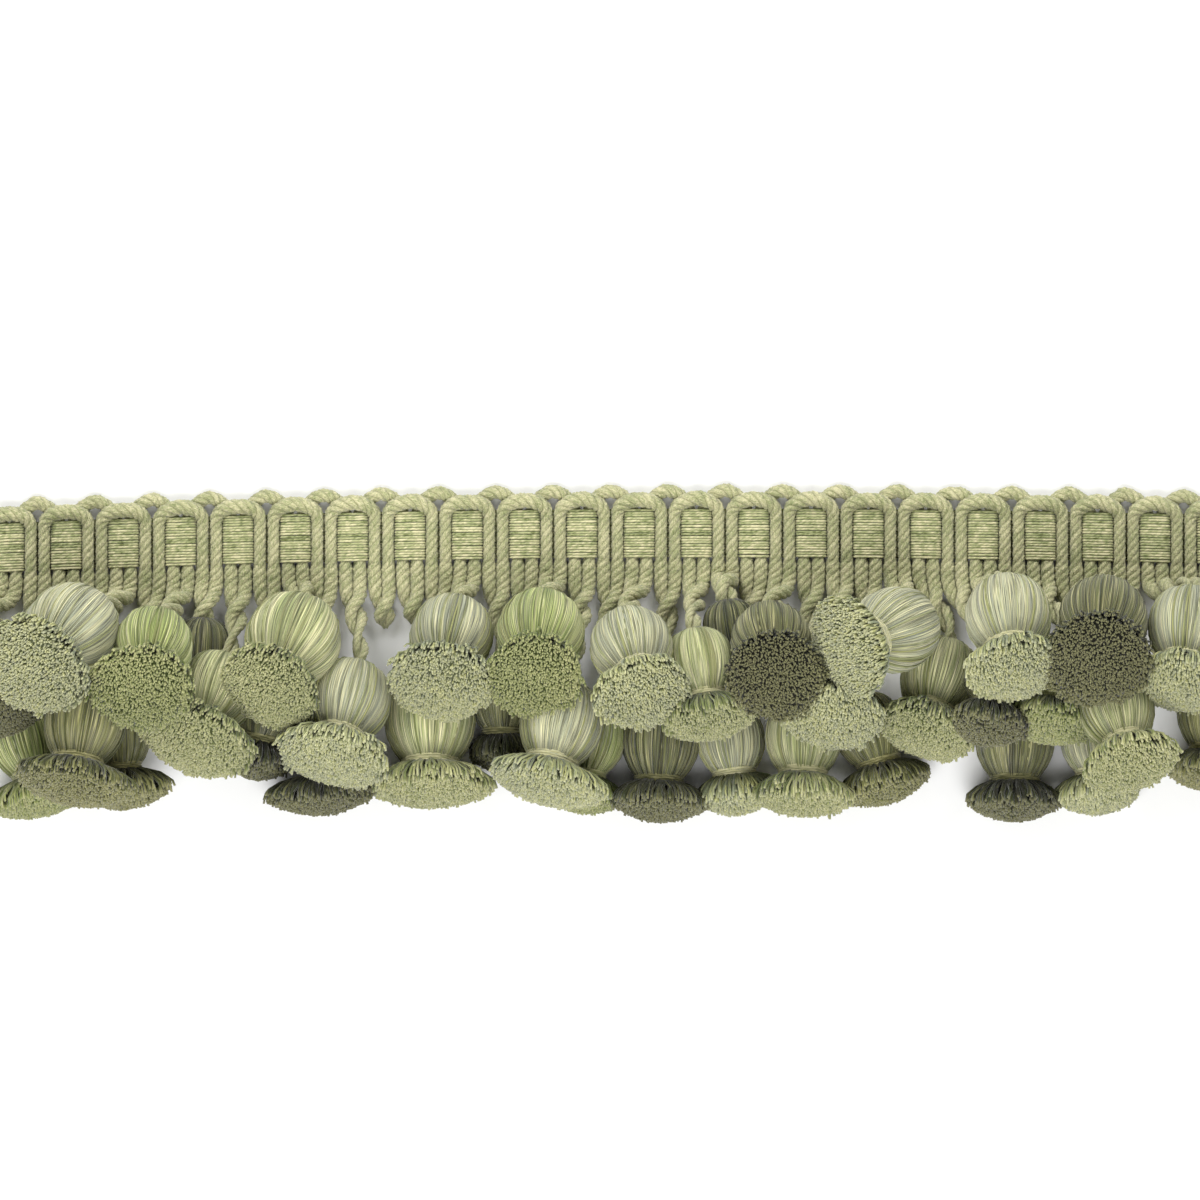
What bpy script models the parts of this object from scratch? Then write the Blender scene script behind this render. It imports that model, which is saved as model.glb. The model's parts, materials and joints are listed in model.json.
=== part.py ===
"""Tassel fringe trim: a cut length lying loosely on a flat surface.

A woven heading of thick cords runs along X, its looped edge towards +Y. From its
other edge the cords hang as twisted pairs, and each pair carries one yarn tassel.
The tassels are piled over each other towards -Y. The surface is Z = 0, and the
origin is the middle of the trim's footprint. Lengths are in metres.
"""

import math
from collections import namedtuple

import bmesh
import bpy
from mathutils import Vector
from mathutils.bvhtree import BVHTree

MM = 0.001
GAP = 0.35 * MM                 # kept between one piece and the next

# Heading
UNITS = 22                      # woven blocks in this length
PITCH = 14.36 * MM              # block to block
LENGTH = UNITS * PITCH
HEADING_Y = 30.1 * MM           # middle line of the woven blocks
BLOCK_WIDTH = 7.0 * MM
BLOCK_DEPTH = 12.7 * MM         # along Y
BAND_HEIGHT = 3.5 * MM          # the cords alone
BLOCK_HEIGHT = 4.7 * MM         # cords wrapped by the fine yarns
BLOCK_ROUND = 0.9 * MM          # how far a block's top is drawn in
BLOCK_SHORT = 0.6 * MM          # a block ends this short of the band's edges
ARCH_RISE = 3.7 * MM            # cord arch over a block, from the block's top
SCALLOP_RISE = 6.1 * MM         # cord loop between blocks, from the block's top
SCALLOP_HALF = 2.6 * MM         # half the width of the loop's round top
NOTCH_HALF = 4.0 * MM           # from the loop's middle to the notch beside it
EDGE_DIP = 1.0 * MM             # how far the edge falls at each of these
BOW_SLOPE = 0.0066              # the band lies in a slight bow
BOW_CURVE = -0.110              # per metre

# Fringe of twisted cord pairs
PAIRS_PER_UNIT = 2
PAIR_PITCH = PITCH / PAIRS_PER_UNIT
PAIR_RADIUS = 2.1 * MM
ROOT_DEPTH = 4.4 * MM           # row of cords side by side, below the heading
PAIR_START = 3.0 * MM           # where the pairs start, below the heading's edge
ROOT_HEIGHT = 3.5 * MM
APPROACH = 1.2 * MM             # last bit of a pair, in line with its tassel
STRAIGHT_SHARE = 0.4            # how long a pair keeps on along -Y
SHORT_LOOP = 9.5 * MM           # a pair that carries no tassel
CORD_POINTS = 4                 # along a pair, with its last bit
CORD_SIDES = 1                  # bevel resolution, six sides
WELD = 0.01 * MM

# Tassel: the solid stops a little inside its outermost yarns
CORE_HEAD = 0.95
CORE_SKIRT = 0.90
SKIRT_UNIT = 10.5 * MM          # length unit of the skirt's stations
TASSEL_SIDES = 2                # bevel resolution, eight sides
PROFILE = [
    # along the axis, radius; in head radii
    (0.00, 0.25),               # crown, where the cord goes in
    (0.20, 0.68),
    (0.62, 0.95),
    (1.12, 1.00),
    (1.68, 0.84),
    (2.08, 0.57),               # neck
    (2.40, 0.88),               # skirt, from here in skirt radii
    (2.98, 1.00),
]
HEAD_MIDDLE = 1.0               # station of the head's middle
NECK = 5                        # row of the profile
TOP_START = 70 * MM             # where a tassel's way down starts
COARSE_STEP = 1.0 * MM
FINE_STEP = 0.05 * MM
FLAT_SPOT = 1.8 * MM            # how far soft yarn gives on the surface

COLOURS = {
    "pale": (0.42, 0.45, 0.31),
    "cream": (0.45, 0.50, 0.28),
    "fresh": (0.30, 0.38, 0.13),
    "olive": (0.17, 0.19, 0.08),
    "dark": (0.10, 0.13, 0.05),
    "heading": (0.36, 0.42, 0.20),
}

Tassel = namedtuple("Tassel", "name x y turn lift bend head skirt colour")

# In the order they lie, lowest first. x, y: middle of the head in mm. turn: which
# way the skirt points, in degrees from -Y towards +X. lift: slope of the axis up
# towards the skirt. bend: how much more the skirt is lifted than the head.
# head, skirt: radius in mm, out to the last yarns.
TASSELS = [
    # lower row, on the surface
    Tassel("tassel_01", -146.0, -20.0, 14, 6, 0, 10.0, 13.6, "fresh"),
    Tassel("tassel_02", -123.0, -20.0, 4, 5, 0, 8.0, 11.0, "olive"),
    Tassel("tassel_03", -86.0, -13.5, -14, 4, 0, 7.5, 8.5, "dark"),
    Tassel("tassel_04", -73.0, -22.0, 4, 3, 0, 7.5, 12.5, "dark"),
    Tassel("tassel_05", -27.0, -11.0, 0, 4, 0, 8.0, 8.5, "dark"),
    Tassel("tassel_06", -45.2, -16.0, 0, 15, 0, 11.2, 14.3, "cream"),
    Tassel("tassel_07", -4.6, -21.0, -12, 4, 0, 8.3, 10.0, "fresh"),
    Tassel("tassel_08", 12.6, -21.6, -3, 7, 0, 9.5, 12.0, "dark"),
    Tassel("tassel_09", 30.0, -21.2, 6, 7, 0, 8.4, 9.8, "pale"),
    Tassel("tassel_10", 64.5, -18.5, 16, 8, 0, 8.8, 11.0, "olive"),
    Tassel("tassel_11", 48.3, -20.1, -2, 12, 0, 9.5, 12.3, "cream"),
    Tassel("tassel_12", 101.1, -21.1, 0, 6, 0, 9.8, 11.6, "dark"),
    Tassel("tassel_13", 121.0, -21.2, 4, 8, 0, 8.2, 10.0, "pale"),
    Tassel("tassel_14", 151.5, -14.0, -4, 8, 0, 9.5, 11.5, "olive"),
    # half hidden under the others
    Tassel("tassel_37", -102.4, 1.8, -4, 3, 0, 7.4, 7.6, "dark"),
    Tassel("tassel_38", 30.0, 6.9, 8, 6, 0, 6.8, 7.4, "dark"),
    # middle row, between and over the lower heads
    Tassel("tassel_15", -130.8, -16.8, -10, 17, 0, 10.0, 13.8, "olive"),
    Tassel("tassel_16", -98.4, -9.2, -20, 36, 0, 9.8, 14.0, "cream"),
    Tassel("tassel_17", -65.2, -11.4, -15, 29, 0, 10.2, 13.2, "pale"),
    Tassel("tassel_18", -156.5, -0.6, 18, 30, 0, 10.0, 12.0, "dark"),
    Tassel("tassel_19", -12.1, -16.8, -14, 16, 0, 10.2, 13.6, "pale"),
    Tassel("tassel_20", 56.9, -3.6, -4, 40, 0, 9.3, 11.8, "pale"),
    Tassel("tassel_21", 22.2, -2.2, 9, 19, 0, 8.8, 11.0, "cream"),
    Tassel("tassel_22", 112.0, -3.5, -8, 20, 0, 8.5, 11.0, "fresh"),
    Tassel("tassel_23", 126.0, -14.0, 13, 30, 0, 9.2, 11.8, "cream"),
    Tassel("tassel_24", 82.4, -5.6, -16, 28, 0, 9.8, 12.0, "cream"),
    Tassel("tassel_25", 158.8, -3.0, 0, 25, 0, 8.2, 10.0, "olive"),
    Tassel("tassel_39", 96.0, -5.6, -8, 26, 0, 7.4, 8.8, "dark"),
    # upper row, next to the heading
    Tassel("tassel_26", -113.9, 1.9, -12, 50, 6, 9.8, 12.5, "fresh"),
    Tassel("tassel_27", -17.4, 5.4, -10, 50, 6, 10.8, 12.0, "fresh"),
    Tassel("tassel_28", 98.9, 9.4, 5, 40, 0, 10.5, 11.0, "pale"),
    Tassel("tassel_29", 5.2, 1.6, 14, 48, 0, 10.2, 11.4, "pale"),
    Tassel("tassel_30", -79.2, 3.4, -24, 46, 0, 11.8, 12.3, "cream"),
    Tassel("tassel_31", 39.9, 3.1, 6, 56, 8, 9.9, 12.0, "dark"),
    Tassel("tassel_32", -134.2, 5.6, -42, 50, 0, 11.9, 13.5, "pale"),
    Tassel("tassel_33", -39.7, 4.6, -13, 44, 0, 10.2, 13.2, "pale"),
    Tassel("tassel_34", 122.6, 8.4, -10, 54, 4, 11.0, 13.4, "dark"),
    Tassel("tassel_35", 71.0, 6.2, -68, 47, -11, 10.6, 12.8, "pale"),
    Tassel("tassel_36", 144.0, 7.0, -8, 28, 6, 10.0, 11.2, "pale"),
]


def bow(x):
    """How far the band is pushed towards +Y at x."""
    return BOW_SLOPE * x + BOW_CURVE * x * x


def edge_y(x):
    """The heading's lower edge, where the cords leave it."""
    return HEADING_Y - BLOCK_DEPTH / 2 + bow(x)


# ---------------------------------------------------------------- shared tools

def clear_scene():
    for obj in list(bpy.data.objects):
        bpy.data.objects.remove(obj, do_unlink=True)


def new_collection(name):
    collection = bpy.data.collections.new(name)
    bpy.context.scene.collection.children.link(collection)
    return collection


def material(name, colour, roughness=0.85):
    mat = bpy.data.materials.new(name)
    mat.use_nodes = True
    shader = mat.node_tree.nodes["Principled BSDF"]
    shader.inputs["Base Color"].default_value = (*colour, 1.0)
    shader.inputs["Roughness"].default_value = roughness
    shader.inputs["Metallic"].default_value = 0.0
    return mat


def curve_object(name, kind="3D"):
    curve = bpy.data.curves.new(name, "CURVE")
    curve.dimensions = kind
    obj = bpy.data.objects.new(name, curve)
    bpy.context.scene.collection.objects.link(obj)
    return obj


def curve_to_mesh(obj, lowest=None):
    """Turn a curve into a mesh object of the same name, with its caps welded."""
    graph = bpy.context.evaluated_depsgraph_get()
    mesh = bpy.data.meshes.new_from_object(obj.evaluated_get(graph))
    shape = bmesh.new()
    shape.from_mesh(mesh)
    bmesh.ops.remove_doubles(shape, verts=shape.verts, dist=WELD)
    if lowest is not None:
        for vert in shape.verts:
            vert.co.z = max(vert.co.z, lowest)
    bmesh.ops.recalc_face_normals(shape, faces=shape.faces)
    shape.to_mesh(mesh)
    shape.free()
    name, place = obj.name, obj.matrix_world.copy()
    bpy.data.objects.remove(obj, do_unlink=True)
    solid = bpy.data.objects.new(name, mesh)
    bpy.context.scene.collection.objects.link(solid)
    solid.matrix_world = place
    return solid


def tube(name, points, radii, resolution, lowest=None):
    """A round bar through the points, with its own radius at each of them."""
    obj = curve_object(name)
    curve = obj.data
    curve.bevel_depth = 1.0
    curve.bevel_resolution = resolution
    curve.use_fill_caps = True
    spline = curve.splines.new("POLY")
    spline.points.add(len(points) - 1)
    for knot, point, radius in zip(spline.points, points, radii):
        knot.co = (*point, 1.0)
        knot.radius = radius
    return curve_to_mesh(obj, lowest)


def plate(name, outline, bottom, top):
    """A flat piece with the given outline."""
    obj = curve_object(name, "2D")
    curve = obj.data
    curve.fill_mode = "BOTH"
    curve.extrude = (top - bottom) / 2
    spline = curve.splines.new("POLY")
    spline.points.add(len(outline) - 1)
    for knot, (x, y) in zip(spline.points, outline):
        knot.co = (x, y, 0.0, 1.0)
    spline.use_cyclic_u = True
    obj.location.z = (top + bottom) / 2
    return curve_to_mesh(obj)


def union(base, others):
    """Join the other solids to the base in one body."""
    group = new_collection(base.name + "_pieces")
    for other in others:
        for owner in list(other.users_collection):
            owner.objects.unlink(other)
        group.objects.link(other)
        other.hide_render = True
        other.display_type = "WIRE"
    join = base.modifiers.new("join", "BOOLEAN")
    join.operation = "UNION"
    join.operand_type = "COLLECTION"
    join.collection = group
    join.solver = "EXACT"
    join.use_self = True


def finish(obj, collection, mat):
    """Put a finished piece in the part's collection, with its material."""
    for owner in list(obj.users_collection):
        owner.objects.unlink(obj)
    collection.objects.link(obj)
    obj.data.materials.clear()
    obj.data.materials.append(mat)


# --------------------------------------------------------------------- heading

def band_outline():
    """Scalloped along the looped edge, straight along the other."""
    top = HEADING_Y + BLOCK_DEPTH / 2
    half = PITCH / 2
    unit = [
        # from the block's middle, above the block's top
        (-half, SCALLOP_RISE),
        (-half + SCALLOP_HALF, SCALLOP_RISE - EDGE_DIP),
        (-half + NOTCH_HALF, ARCH_RISE - EDGE_DIP),
        (0.0, ARCH_RISE),
        (half - NOTCH_HALF, ARCH_RISE - EDGE_DIP),
        (half - SCALLOP_HALF, SCALLOP_RISE - EDGE_DIP),
    ]
    outline = []
    for index in range(UNITS):
        middle = -LENGTH / 2 + (index + 0.5) * PITCH
        outline += [(middle + u, top + bow(middle + u) + v) for u, v in unit]
    outline.append((LENGTH / 2, top + bow(LENGTH / 2) + SCALLOP_RISE))
    for index in range(UNITS + 1):
        x = LENGTH / 2 - index * PITCH
        outline.append((x, edge_y(x)))
    return outline


def woven_block(index):
    """The fine yarns bound over two hidden cords, as one raised block."""
    x = -LENGTH / 2 + (index + 0.5) * PITCH
    bpy.ops.mesh.primitive_cube_add(size=1, location=(0, 0, 0))
    block = bpy.context.object
    block.name = f"block_{index:02d}"
    size = Vector((BLOCK_WIDTH, BLOCK_DEPTH - BLOCK_SHORT, BLOCK_HEIGHT - BAND_HEIGHT / 2))
    middle = Vector((x, HEADING_Y + bow(x), BAND_HEIGHT / 2 + size.z / 2))
    for vert in block.data.vertices:
        inset = BLOCK_ROUND if vert.co.z > 0 else 0.0
        vert.co.x = vert.co.x * (size.x - 2 * inset)
        vert.co.y = vert.co.y * (size.y - 2 * inset)
        vert.co.z = vert.co.z * size.z
        vert.co += middle
    return block


def heading(collection, mat):
    band = plate("heading", band_outline(), 0.0, BAND_HEIGHT)
    union(band, [woven_block(index) for index in range(UNITS)])
    finish(band, collection, mat)
    return band


# --------------------------------------------------------------------- tassels

def direction(turn, lift):
    """Unit vector for a turn from -Y towards +X and a lift above the surface."""
    level = math.cos(lift)
    return Vector((math.sin(turn) * level, -math.cos(turn) * level, math.sin(lift)))


def stations(tassel, grow=0.0):
    """The tassel's axis and radii, about the middle of its head."""
    turn, lift = math.radians(tassel.turn), math.radians(tassel.lift)
    bend = math.radians(tassel.bend)
    along_head = direction(turn, lift)
    along_skirt = direction(turn, lift + bend)
    head = tassel.head * MM
    neck_at = PROFILE[NECK][0]
    points, radii = [], []
    for row, (along, radius) in enumerate(PROFILE):
        head_part = (min(along, neck_at) - HEAD_MIDDLE) * head
        skirt_part = max(along - neck_at, 0.0) * SKIRT_UNIT
        points.append(along_head * head_part + along_skirt * skirt_part)
        full = tassel.skirt * MM * CORE_SKIRT if row > NECK else head * CORE_HEAD
        radii.append(radius * full + grow)
    points[0] -= along_head * grow
    points[-1] += along_skirt * grow
    return points, radii


class Pile:
    """What already lies on the surface, as one body to test against."""

    def __init__(self):
        self.points, self.faces, self.tree = [], [], None

    def add(self, obj):
        first = len(self.points)
        self.points += [v.co.copy() for v in obj.data.vertices]
        self.faces += [[first + i for i in p.vertices] for p in obj.data.polygons]
        self.tree = BVHTree.FromPolygons(self.points, self.faces)

    def touches(self, obj, height):
        if self.tree is None:
            return False
        points = [v.co + Vector((0, 0, height)) for v in obj.data.vertices]
        faces = [list(p.vertices) for p in obj.data.polygons]
        return bool(BVHTree.FromPolygons(points, faces).overlap(self.tree))


def resting_height(tassel, pile):
    """Lower the tassel onto the surface and onto what already lies there."""
    points, radii = stations(tassel, grow=GAP)
    place = Vector((tassel.x * MM, tassel.y * MM, 0.0))
    probe = tube("probe", [p + place for p in points], radii, TASSEL_SIDES)
    floor_height = -min(v.co.z for v in probe.data.vertices) - FLAT_SPOT
    height = TOP_START
    for step in (COARSE_STEP, FINE_STEP):
        while height > floor_height:
            lower = max(height - step, floor_height)
            if pile.touches(probe, lower):
                break
            height = lower
    bpy.data.objects.remove(probe, do_unlink=True)
    return height


def lay_tassel(tassel, pile):
    place = Vector((tassel.x * MM, tassel.y * MM, resting_height(tassel, pile)))
    points, radii = stations(tassel)
    solid = tube(tassel.name, [p + place for p in points], radii, TASSEL_SIDES, lowest=0.0)
    return solid, place + points[0]


# ------------------------------------------------------------- cords of the fringe

def root_row():
    """The cords side by side, just below the heading's edge."""
    xs = [-LENGTH / 2 + index * PITCH for index in range(UNITS + 1)]
    upper = [(x, edge_y(x) - GAP) for x in xs]
    lower = [(x, edge_y(x) - GAP - ROOT_DEPTH) for x in reversed(xs)]
    return plate("cord_fringe", upper + lower, 0.0, ROOT_HEIGHT)


def hanging_places():
    """x of each cord pair: below each block's middle, and between blocks."""
    count = UNITS * PAIRS_PER_UNIT - 1
    return [-LENGTH / 2 + (index + 1) * PAIR_PITCH for index in range(count)]


def choose_pairs():
    """Give each tassel the next free cord pair near its crown, in order along X."""
    places = hanging_places()

    def crown_x(tassel):
        return tassel.x * MM + stations(tassel)[0][0].x

    ordered = sorted(TASSELS, key=crown_x)
    chosen, last = {}, -1
    for rank, tassel in enumerate(ordered):
        # In order, and leaving enough pairs for the tassels still to come.
        nearest = round((crown_x(tassel) - places[0]) / PAIR_PITCH)
        last_free = len(places) - len(ordered) + rank
        last = min(max(nearest, last + 1), last_free)
        chosen[tassel.name] = last
    return chosen


def pair_start(x):
    return Vector((x, edge_y(x) - PAIR_START, PAIR_RADIUS))


def pair_route(x, crown, tassel):
    """From the heading's edge low down the trim, then up into the tassel's crown."""
    start = pair_start(x)
    axis = direction(math.radians(tassel.turn), math.radians(tassel.lift))
    end = crown - axis * GAP
    near_end = end - axis * APPROACH
    reach = (end - start).length
    first = start - Vector((0, STRAIGHT_SHARE * reach, 0))
    second = near_end - axis * (3 * APPROACH)
    second.z = max(second.z, PAIR_RADIUS)
    route = []
    for index in range(CORD_POINTS - 1):
        t = index / (CORD_POINTS - 2)
        s = 1 - t
        route.append(s ** 3 * start + 3 * s * s * t * first
                     + 3 * s * t * t * second + t ** 3 * near_end)
    return route + [end]


def cord_pair(name, route):
    return tube(name, route, [PAIR_RADIUS] * len(route), CORD_SIDES, lowest=0.0)


def build():
    clear_scene()
    part = new_collection("tassel_fringe_trim")
    colours = {name: material(name, colour) for name, colour in COLOURS.items()}

    heading(part, colours["heading"])
    bpy.context.view_layer.update()

    chosen = choose_pairs()
    places = hanging_places()
    pile, cords = Pile(), []
    for tassel in TASSELS:
        solid, crown = lay_tassel(tassel, pile)
        finish(solid, part, colours[tassel.colour])
        pair = chosen[tassel.name]
        cord = cord_pair(f"pair_{pair:02d}", pair_route(places[pair], crown, tassel))
        pile.add(solid)
        pile.add(cord)
        cords.append(cord)
    for index in sorted(set(range(len(places))) - set(chosen.values())):
        start = pair_start(places[index])
        end = start - Vector((0, SHORT_LOOP, 0))
        cords.append(cord_pair(f"pair_{index:02d}", [start, start.lerp(end, 0.5), end]))

    fringe = root_row()
    union(fringe, cords)
    finish(fringe, part, colours["heading"])


build()
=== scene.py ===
"""Tassel fringe trim: the looks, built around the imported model.

The heading's fine yarns, its plied cords and every tassel are made yarn by yarn,
as joined meshes. The tables and the yarns' routes are in millimetres, and what
Blender is given is in metres.
"""

import json
import math
from collections import namedtuple

import bpy
import numpy as np
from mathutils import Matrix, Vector

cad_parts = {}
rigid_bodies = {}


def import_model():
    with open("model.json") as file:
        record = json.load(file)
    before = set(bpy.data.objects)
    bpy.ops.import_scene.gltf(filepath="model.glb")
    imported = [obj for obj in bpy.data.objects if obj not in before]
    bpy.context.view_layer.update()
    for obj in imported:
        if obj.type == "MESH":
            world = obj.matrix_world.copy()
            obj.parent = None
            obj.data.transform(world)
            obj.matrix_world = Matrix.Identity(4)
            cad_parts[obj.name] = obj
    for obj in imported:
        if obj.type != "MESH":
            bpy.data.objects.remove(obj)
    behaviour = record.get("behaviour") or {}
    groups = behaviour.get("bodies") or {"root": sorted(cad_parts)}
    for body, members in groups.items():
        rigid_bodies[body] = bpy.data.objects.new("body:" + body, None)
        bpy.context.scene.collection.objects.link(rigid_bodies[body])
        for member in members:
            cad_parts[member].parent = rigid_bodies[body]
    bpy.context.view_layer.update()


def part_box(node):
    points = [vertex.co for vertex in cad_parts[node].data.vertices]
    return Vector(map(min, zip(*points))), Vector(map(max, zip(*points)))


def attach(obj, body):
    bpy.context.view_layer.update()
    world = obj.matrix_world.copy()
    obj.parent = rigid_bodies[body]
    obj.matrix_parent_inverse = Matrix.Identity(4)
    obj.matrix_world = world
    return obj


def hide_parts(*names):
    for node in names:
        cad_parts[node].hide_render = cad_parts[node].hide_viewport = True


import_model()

MM = 0.001
TAU = 2 * math.pi
rng = np.random.default_rng(36)

# ------------------------------------------------------------------ the trim's sizes

UNITS = 22                      # woven blocks
PITCH = 14.36                   # block to block
LENGTH = UNITS * PITCH
HEADING_Y = 30.1                # middle line of the woven blocks
BLOCK_DEPTH = 12.7
BOW_SLOPE = 0.0066              # the band lies in a slight bow
BOW_CURVE = -0.000110           # per mm
PAIR_PITCH = PITCH / 2          # one hanging pair to the next
PAIR_RADIUS = 2.1               # of the solid that stands for a pair
PAIR_START = 3.0                # below the heading's edge
APPROACH = 1.2                  # a pair's last stretch, in line with its tassel
STRAIGHT_SHARE = 0.4            # of a pair's way, straight down from the heading
GAP = 0.35                      # from the end of the solid pair to the head

# Fine yarns of the heading
YARNS = 18
YARN_RADIUS = 0.355
OVER = 4.05                     # height of a yarn's middle over a block
UNDER = 0.45                    # and under the bare cords

# Cords
PLIES = 4
PLY_LAY = 8.4                   # length of one full turn of a cord's plies
FIBRE_LEAN = 0.75               # turns that its fibres make in that length
CORD_RADIUS = 1.62
BARE_AT = 5.46                  # bare cords, from the block's middle
BOUND_AT = 1.75                 # cords inside a block
BARE_HEIGHT = 2.6
BOUND_HEIGHT = 2.0
CORD_STEP = 0.82                # between stations along a cord
HANGER_LAY = 19.0               # one full turn of a pair's two cords
HANGER_RADIUS = 1.58            # of each cord, where the pair is twisted tight
MERGE = (4.0, 16.0)             # below the heading, where the two come together
TWIST_AT = 6.0                  # and where they start to twist,
TWISTS = (5.5, 13.5)            # more and more over this stretch
THIN = (14.0, 20.0)             # and where the twist draws them thin
THINNING = 0.30                 # by this share
SWOLLEN = 1.98                  # radius of a cord just below the heading
LOOP_LENGTH = 13.5              # of a pair that carries no tassel

NECK_AT = 2.08                  # along the head, in head radii
NECK_WIDTH = 0.57
NECK_TURNS = 4.6
NECK_PITCH = 0.66
NECK_YARN = 0.44                # radius of the yarn wound round it
SKIRT_LENGTH = 9.45             # from the neck to the cut

# Yarns in a skirt of 12 mm radius
SKIRT_RADIUS = 12.0
CUT_ENDS = 1700
RIM_YARNS = 240
SHORT_YARNS = 110
TUFTS = 21                      # round the rim
STRAY_YARNS = 26                # on a head
END_LENGTH = 3.0                # of a cut end that shows
END_RADII = (0.25, 0.34)
RIM_RADII = (0.28, 0.40)
STRAY_RADIUS = 0.24

Tassel = namedtuple("Tassel", "name x y turn lift bend head skirt colour")

# In the order they lie, lowest first. x, y: middle of the head in mm. turn: which
# way the skirt points, in degrees from -Y towards +X. lift: slope of the axis up
# towards the skirt. bend: how much more the skirt is lifted than the head.
# head, skirt: radius in mm.
TASSELS = [
    # lower row, on the surface
    Tassel("tassel_01", -146.0, -20.0, 14, 6, 0, 10.0, 13.6, "fresh"),
    Tassel("tassel_02", -123.0, -20.0, 4, 5, 0, 8.0, 11.0, "olive"),
    Tassel("tassel_03", -86.0, -13.5, -14, 4, 0, 7.5, 8.5, "dark"),
    Tassel("tassel_04", -73.0, -22.0, 4, 3, 0, 7.5, 12.5, "dark"),
    Tassel("tassel_05", -27.0, -11.0, 0, 4, 0, 8.0, 8.5, "dark"),
    Tassel("tassel_06", -45.2, -16.0, 0, 15, 0, 11.2, 14.3, "cream"),
    Tassel("tassel_07", -4.6, -21.0, -12, 4, 0, 8.3, 10.0, "fresh"),
    Tassel("tassel_08", 12.6, -21.6, -3, 7, 0, 9.5, 12.0, "dark"),
    Tassel("tassel_09", 30.0, -21.2, 6, 7, 0, 8.4, 9.8, "pale"),
    Tassel("tassel_10", 64.5, -18.5, 16, 8, 0, 8.8, 11.0, "olive"),
    Tassel("tassel_11", 48.3, -20.1, -2, 12, 0, 9.5, 12.3, "cream"),
    Tassel("tassel_12", 101.1, -21.1, 0, 6, 0, 9.8, 11.6, "dark"),
    Tassel("tassel_13", 121.0, -21.2, 4, 8, 0, 8.2, 10.0, "pale"),
    Tassel("tassel_14", 151.5, -14.0, -4, 8, 0, 9.5, 11.5, "olive"),
    # half hidden under the others
    Tassel("tassel_37", -102.4, 1.8, -4, 3, 0, 7.4, 7.6, "dark"),
    Tassel("tassel_38", 30.0, 6.9, 8, 6, 0, 6.8, 7.4, "dark"),
    # middle row, between and over the lower heads
    Tassel("tassel_15", -130.8, -16.8, -10, 17, 0, 10.0, 13.8, "olive"),
    Tassel("tassel_16", -98.4, -9.2, -20, 36, 0, 9.8, 14.0, "cream"),
    Tassel("tassel_17", -65.2, -11.4, -15, 29, 0, 10.2, 13.2, "pale"),
    Tassel("tassel_18", -156.5, -0.6, 18, 30, 0, 10.0, 12.0, "dark"),
    Tassel("tassel_19", -12.1, -16.8, -14, 16, 0, 10.2, 13.6, "pale"),
    Tassel("tassel_20", 56.9, -3.6, -4, 40, 0, 9.3, 11.8, "pale"),
    Tassel("tassel_21", 22.2, -2.2, 9, 19, 0, 8.8, 11.0, "cream"),
    Tassel("tassel_22", 112.0, -3.5, -8, 20, 0, 8.5, 11.0, "fresh"),
    Tassel("tassel_23", 126.0, -14.0, 13, 30, 0, 9.2, 11.8, "cream"),
    Tassel("tassel_24", 82.4, -5.6, -16, 28, 0, 9.8, 12.0, "cream"),
    Tassel("tassel_25", 158.8, -3.0, 0, 25, 0, 8.2, 10.0, "olive"),
    Tassel("tassel_39", 96.0, -5.6, -8, 26, 0, 7.4, 8.8, "dark"),
    # upper row, next to the heading
    Tassel("tassel_26", -113.9, 1.9, -12, 50, 6, 9.8, 12.5, "fresh"),
    Tassel("tassel_27", -17.4, 5.4, -10, 50, 6, 10.8, 12.0, "fresh"),
    Tassel("tassel_28", 98.9, 9.4, 5, 40, 0, 10.5, 11.0, "pale"),
    Tassel("tassel_29", 5.2, 1.6, 14, 48, 0, 10.2, 11.4, "pale"),
    Tassel("tassel_30", -79.2, 3.4, -24, 46, 0, 11.8, 12.3, "cream"),
    Tassel("tassel_31", 39.9, 3.1, 6, 56, 8, 9.9, 12.0, "dark"),
    Tassel("tassel_32", -134.2, 5.6, -42, 50, 0, 11.9, 13.5, "pale"),
    Tassel("tassel_33", -39.7, 4.6, -13, 44, 0, 10.2, 13.2, "pale"),
    Tassel("tassel_34", 122.6, 8.4, -10, 54, 4, 11.0, 13.4, "dark"),
    Tassel("tassel_35", 71.0, 6.2, -68, 47, -11, 10.6, 12.8, "pale"),
    Tassel("tassel_36", 144.0, 7.0, -8, 28, 6, 10.0, 11.2, "pale"),
]

# ------------------------------------------------------------------ camera and light

CAMERA_HEIGHT = 4.0             # metres, as are the other places here
CAMERA_OVER = (-0.00265, 0.0134)
VIEW_WIDTH = 0.300              # at the height of the lower heads' middles
SHARP_HEIGHT = 0.012
LAMPS = (
    # name, place, size in metres, power in watts
    ("left_window", (-0.80, 1.20, 0.95), 1.0, 22.0),
    ("right_window", (0.85, 1.10, 0.95), 1.0, 15.0),
    ("fill", (-0.10, -0.85, 1.20), 1.3, 30.0),
)
SKY = 0.26                      # strength of the even light from all around
FLOOR_SIZE = 12.0
FLOOR_TONE = (0.88, 0.88, 0.88)


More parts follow.
